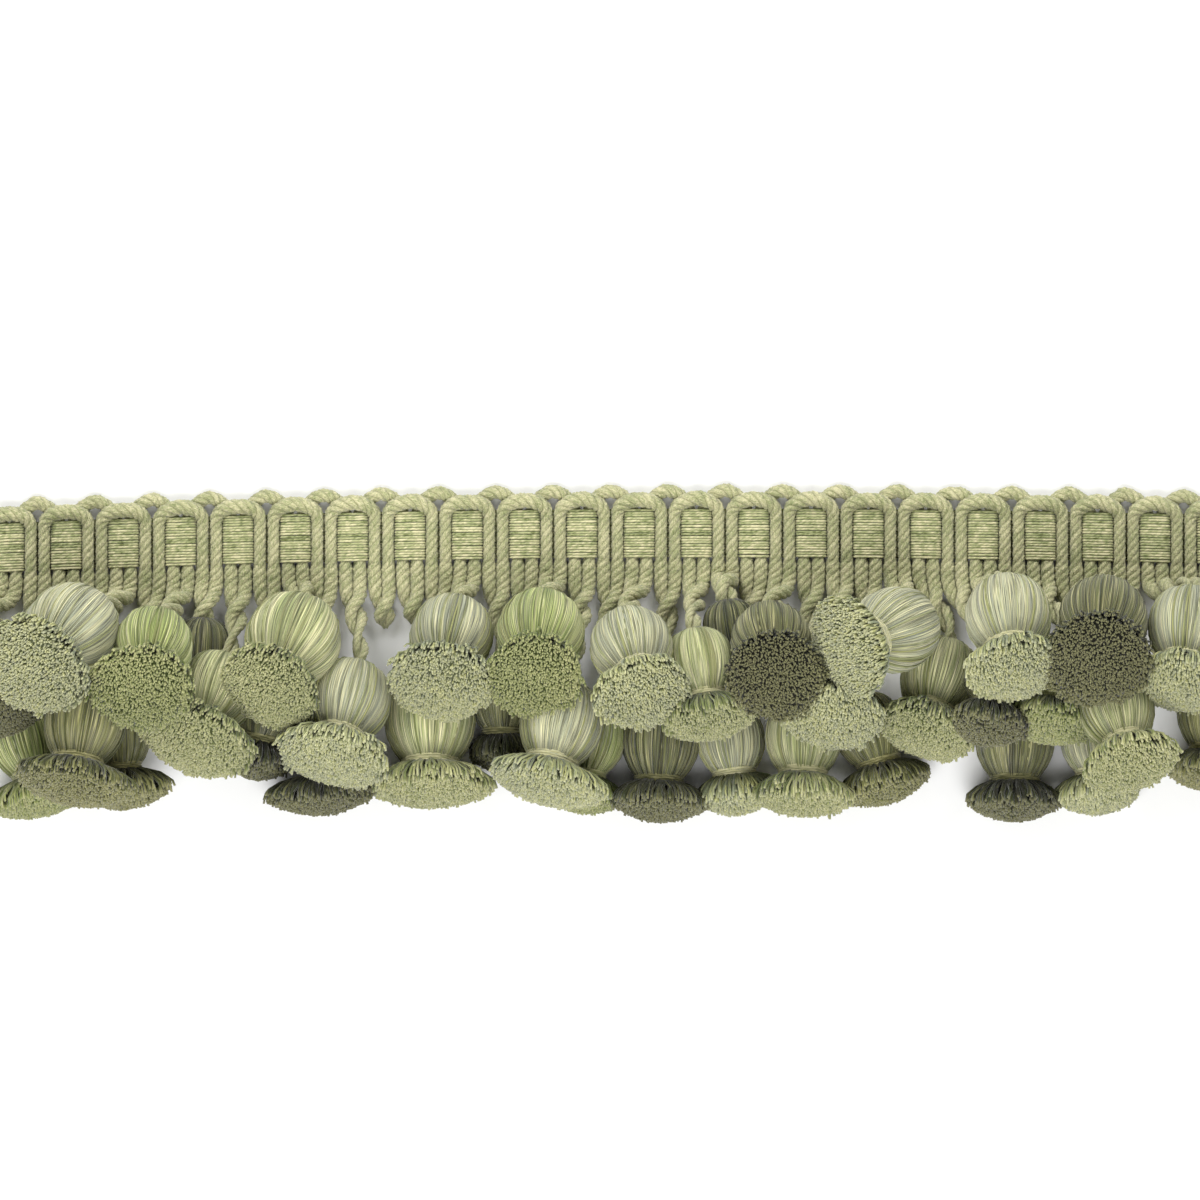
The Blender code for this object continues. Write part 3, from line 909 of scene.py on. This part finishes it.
def cords(places, material):
    """Every cord: arches with the bare cords, and loops with the bound ones."""
    chosen = choose_pairs(places)
    members = [pair_members(index, chosen.get(index)) for index in range(2 * UNITS - 1)]
    edge = LENGTH / 2 - (PITCH / 2 - BARE_AT)
    arches, loops = Yarns(), Yarns()
    for index in range(UNITS):
        left = members[2 * index - 1][1] if index > 0 else loose_end(-edge, BARE_HEIGHT)
        right = members[2 * index + 1][0] if index < UNITS - 1 else loose_end(edge, BARE_HEIGHT)
        plied(arches, *join_route(left, arch(index), right))
    for index in range(UNITS - 1):
        plied(loops, *join_route(members[2 * index][1], loop(index), members[2 * index + 2][0]))
    for pair, member, side in ((0, 0, -1), (2 * UNITS - 2, 1, 1)):
        x = block_x(0 if side < 0 else UNITS - 1) + side * BOUND_AT
        low = edge_y(x)
        stub = spline([(x, low, BOUND_HEIGHT), (x, low + 6, BOUND_HEIGHT),
                       (x, low + BLOCK_DEPTH + 0.5, BOUND_HEIGHT),
                       (x + side * 3.0, low + BLOCK_DEPTH + 3.0, 1.9),
                       (x + side * 5.0, low + BLOCK_DEPTH + 4.0, 1.9)])
        route, radius = members[pair][member]
        plied(loops, np.vstack([route[::-1], stub[1:]]),
              np.concatenate([radius[::-1], np.full(len(stub) - 1, CORD_RADIUS)]))
    return arches.finish("arch_cords", [material]), loops.finish("loop_cords", [material])


# ------------------------------------------------------------------ tassels

HEAD_PROFILE = [
    # along the axis from the crown, radius; in head radii
    (0.02, 0.03),
    (0.00, 0.16),
    (0.05, 0.38),
    (0.20, 0.66),
    (0.42, 0.85),
    (0.75, 0.97),
    (1.12, 1.00),
    (1.45, 0.94),
    (1.75, 0.80),
    (1.97, 0.64),
    (2.10, 0.56),
    (2.24, 0.50),
]
HEAD_SIDES = 72
HEAD_RIDGES = ((5, 0.13), (11, 0.07), (19, 0.07), (31, 0.10))  # waves round it, height


def head(made, place, seed):
    """The yarns laid down over a tassel's head, as one ridged surface."""
    profile = spline(np.array(HEAD_PROFILE), 2)
    radius = place.tassel.head
    along, reach = profile[:, 0] * radius, profile[:, 1] * radius
    angle = np.arange(HEAD_SIDES + 1) * TAU / HEAD_SIDES
    ridges = np.zeros((len(profile), HEAD_SIDES + 1))
    for waves, size in HEAD_RIDGES:
        phase = seed.uniform(0, TAU)
        drift = seed.normal(0, 0.5) * np.linspace(0, 1, len(profile))[:, None]
        ridges += size * np.sin(waves * angle[None] + phase + drift * waves / 8)
    fade = smooth_step(profile[:, 1] / 0.5)[:, None]
    reach = reach[:, None] + ridges * fade
    out = around(angle, place.level, place.upper)
    points = place.crown + along[:, None, None] * place.axis + reach[..., None] * out
    points[..., 2] = np.maximum(points[..., 2], 0.15)
    faces = ring_faces(len(points), HEAD_SIDES)
    maps = ring_maps(np.linspace(0, 1, len(points)), HEAD_SIDES)
    made.add(points[:, :-1], faces.reshape(-1, 4), maps.reshape(-1, 4, 2), seed.random(), slot=0)


def stray_yarns(made, place, seed):
    """Single yarns that lie a little proud of the head."""
    count = STRAY_YARNS
    profile = spline(np.array(HEAD_PROFILE[1:]), 1)[1:-1]
    radius = place.tassel.head
    along, reach = profile[:, 0] * radius, profile[:, 1] * radius + 0.12
    start = seed.uniform(0, TAU, count)[:, None]
    angle = start + seed.normal(0, 0.09, count)[:, None] * np.linspace(0, 1, len(profile))[None]
    out = around(angle, place.level, place.upper)
    points = place.crown + along[None, :, None] * place.axis + reach[None, :, None] * out
    points[..., 2] = np.maximum(points[..., 2], 0.3)
    made.sweep(points, STRAY_RADIUS, polygon(3), np.linspace(0.3, 0.7, len(profile))[None],
               0.35 + 0.65 * seed.random(count), slot=1)


def neck_band(made, place, seed):
    """Yarn wound round the neck."""
    stations = int(NECK_TURNS * 20)
    angle = np.linspace(0, NECK_TURNS * TAU, stations) + seed.uniform(0, TAU)
    along = np.linspace(-0.45, 0.55, stations) * NECK_TURNS * NECK_PITCH
    reach = NECK_WIDTH * place.tassel.head + 0.5 + 0.12 * np.sin(angle * 0.37)
    out = around(angle, place.level, place.upper)
    points = place.neck + along[:, None] * place.axis + reach[:, None] * out
    points[:, 2] = np.maximum(points[:, 2], NECK_YARN)
    made.sweep(points[None], NECK_YARN, polygon(5), lengths(points)[None], 0.6, slot=2,
               first=tuple(place.axis))


def skirt_points(place, reach, angle, share, length, waviness):
    """Points on yarns that run from the neck (share 0) to the cut (share 1)."""
    tassel = place.tassel
    neck = NECK_WIDTH * tassel.head * 0.94
    rim = tassel.skirt * waviness(angle) * (1 - 0.06 * np.sin(angle) * place.skirt_axis[2])
    inner = np.minimum(reach, 1.0) * neck
    outer = reach * rim
    splay = 1 - (1 - share) ** 2.4
    radius = inner + (outer - inner) * splay
    out = around(angle, place.level, place.skirt_upper)
    points = place.neck + (share * length)[..., None] * place.skirt_axis + radius[..., None] * out
    points[..., 2] = np.maximum(points[..., 2], 0.4)
    return points


def skirt(made, place, seed):
    """The cut yarns: full length round the outside, and just their ends inside."""
    tassel = place.tassel
    phases = seed.uniform(0, TAU, 3)

    def waviness(angle):
        return (1 + 0.04 * np.cos(angle + phases[0]) + 0.04 * np.cos(2 * angle + phases[1])
                + 0.03 * np.cos(3 * angle + phases[2]))

    def patchy(angle, reach, count):
        """A random number for each yarn, a little higher on one side of the skirt."""
        side = 0.5 + 0.5 * np.cos(angle - phases[0]) * np.minimum(reach, 1.0)
        return 0.72 * seed.random(count) + 0.28 * side

    def cut(reach, count):
        """Length at which the face is cut, domed and a little ragged."""
        return SKIRT_LENGTH * (1.09 - 0.40 * reach ** 2) + seed.normal(0, 0.16, count)

    def rim_yarns(reach, angle, tuft, length):
        """Whole yarns that start in tufts and spread."""
        count = len(reach)
        share = np.array([[0.0, 0.35, 0.7, 1.0]])
        gather = 0.25 + 0.75 * smooth_step(share * 1.15)
        angles = tuft[:, None] + (angle - tuft)[:, None] * gather
        points = skirt_points(place, reach[:, None], angles, np.broadcast_to(share, angles.shape),
                              length[:, None], waviness)
        points[:, 2:] += seed.normal(0, 0.15, (count, 2, 3))
        made.sweep(points, seed.uniform(*RIM_RADII, count)[:, None], polygon(3), share,
                   patchy(angle, reach, count), turn=seed.uniform(0, TAU, count)[:, None], slot=1)

    size = tassel.skirt / SKIRT_RADIUS
    ends = int(CUT_ENDS * size ** 2)
    golden = math.pi * (3 - math.sqrt(5))
    index = np.arange(ends)
    angle = index * golden + seed.normal(0, 0.03, ends)
    reach = 0.95 * np.sqrt((index + 0.5) / ends) + seed.normal(0, 0.014, ends)
    reach = np.clip(reach, 0.0, 0.97)
    length = cut(reach, ends)
    share = 1 - np.array([END_LENGTH, 0.0])[None] / length[:, None]
    points = skirt_points(place, reach[:, None], np.repeat(angle[:, None], 2, 1), share,
                          length[:, None], waviness)
    points[:, 1] += seed.normal(0, 0.16, (ends, 3))
    made.spikes(points[:, 0], points[:, 1], seed.uniform(*END_RADII, ends),
                patchy(angle, reach, ends), seed.uniform(0, TAU, ends))

    rim = int(RIM_YARNS * tassel.skirt / SKIRT_RADIUS)
    angle = (np.arange(rim) + seed.uniform(-0.5, 0.5, rim)) * TAU / rim
    which = np.round(angle / TAU * TUFTS).astype(int)
    tuft = (which + seed.normal(0, 0.12, TUFTS + 1)[which]) * TAU / TUFTS
    ragged = seed.normal(0, 0.6, TUFTS + 1)[which]
    reach = seed.uniform(0.86, 1.09, rim)
    length = cut(reach, rim) + ragged + seed.uniform(-0.8, 0.5, rim)
    rim_yarns(reach, angle, tuft, length)

    # Shorter yarns that stand out from the side, nearer the neck.
    short = int(SHORT_YARNS * tassel.skirt / SKIRT_RADIUS)
    angle = seed.uniform(0, TAU, short)
    share = seed.uniform(0.45, 0.9, short)
    rim_yarns(0.68 + 0.40 * share, angle, angle + seed.normal(0, 0.10, short), SKIRT_LENGTH * share * 0.8)
    skirt_core(made, place, waviness)


CORE_SIDES = 36
CORE_PROFILE = [
    # share of the yarns' way to the cut, reach in rim radii, length in skirt lengths
    (0.00, 0.86, 0.90),
    (0.25, 0.86, 0.84),
    (0.55, 0.86, 0.80),
    (0.80, 0.88, 0.86),
    (0.86, 0.62, 0.98),
    (0.90, 0.30, 1.05),
    (0.92, 0.01, 1.06),
]


def skirt_core(made, place, waviness):
    """A dark surface under the yarn ends: the darkest yarn with full painted shade, to show as shade between
    the yarns.
    """
    share, reach, length = np.array(CORE_PROFILE).T
    angle = np.arange(CORE_SIDES) * TAU / CORE_SIDES
    points = skirt_points(place, reach[:, None], angle[None], np.repeat(share[:, None], CORE_SIDES, 1),
                          SKIRT_LENGTH * length[:, None], waviness)
    faces = ring_faces(*points.shape[:2]).reshape(-1, 4)
    # Shade 0.05 picks the darkest yarn, and along 0 gives the skirt finish's full painted shade.
    made.add(points, faces, np.zeros((len(faces), 4, 2)), 0.05, slot=1)


def tassel_piece(place, finishes):
    tassel = place.tassel
    seed = np.random.default_rng(int(tassel.name[-2:]))
    made = Yarns()
    head(made, place, seed)
    stray_yarns(made, place, seed)
    neck_band(made, place, seed)
    skirt(made, place, seed)
    return made.finish(tassel.name + "_yarns", finishes[tassel.colour])


# ------------------------------------------------------------------ floor

def floor():
    for obj in bpy.data.objects:
        obj.select_set(False)
    bpy.ops.mesh.primitive_plane_add(size=FLOOR_SIZE, location=(0, 0, 0))
    plane = bpy.context.object
    plane.name = "floor"
    made = Finish("white_table")
    made.end(FLOOR_TONE, 0.8, sheen=0.0)
    plane.data.materials.append(made.material)


def build():
    camera_and_lights()
    floor()
    cord = cord_finish()
    weave = fine_yarns(weave_finish())
    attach(weave, "root")
    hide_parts("heading")

    places = [Place(tassel) for tassel in TASSELS]
    arches, loops = cords(places, cord)
    for piece in (arches, loops):
        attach(piece, "root")
    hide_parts("cord_fringe")

    finishes = {name: [head_finish(name), strand_finish(name), band_finish(name)] for name in YARN_MIXES}
    for place in places:
        piece = tassel_piece(place, finishes)
        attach(piece, "root")
        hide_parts(place.tassel.name)


build()
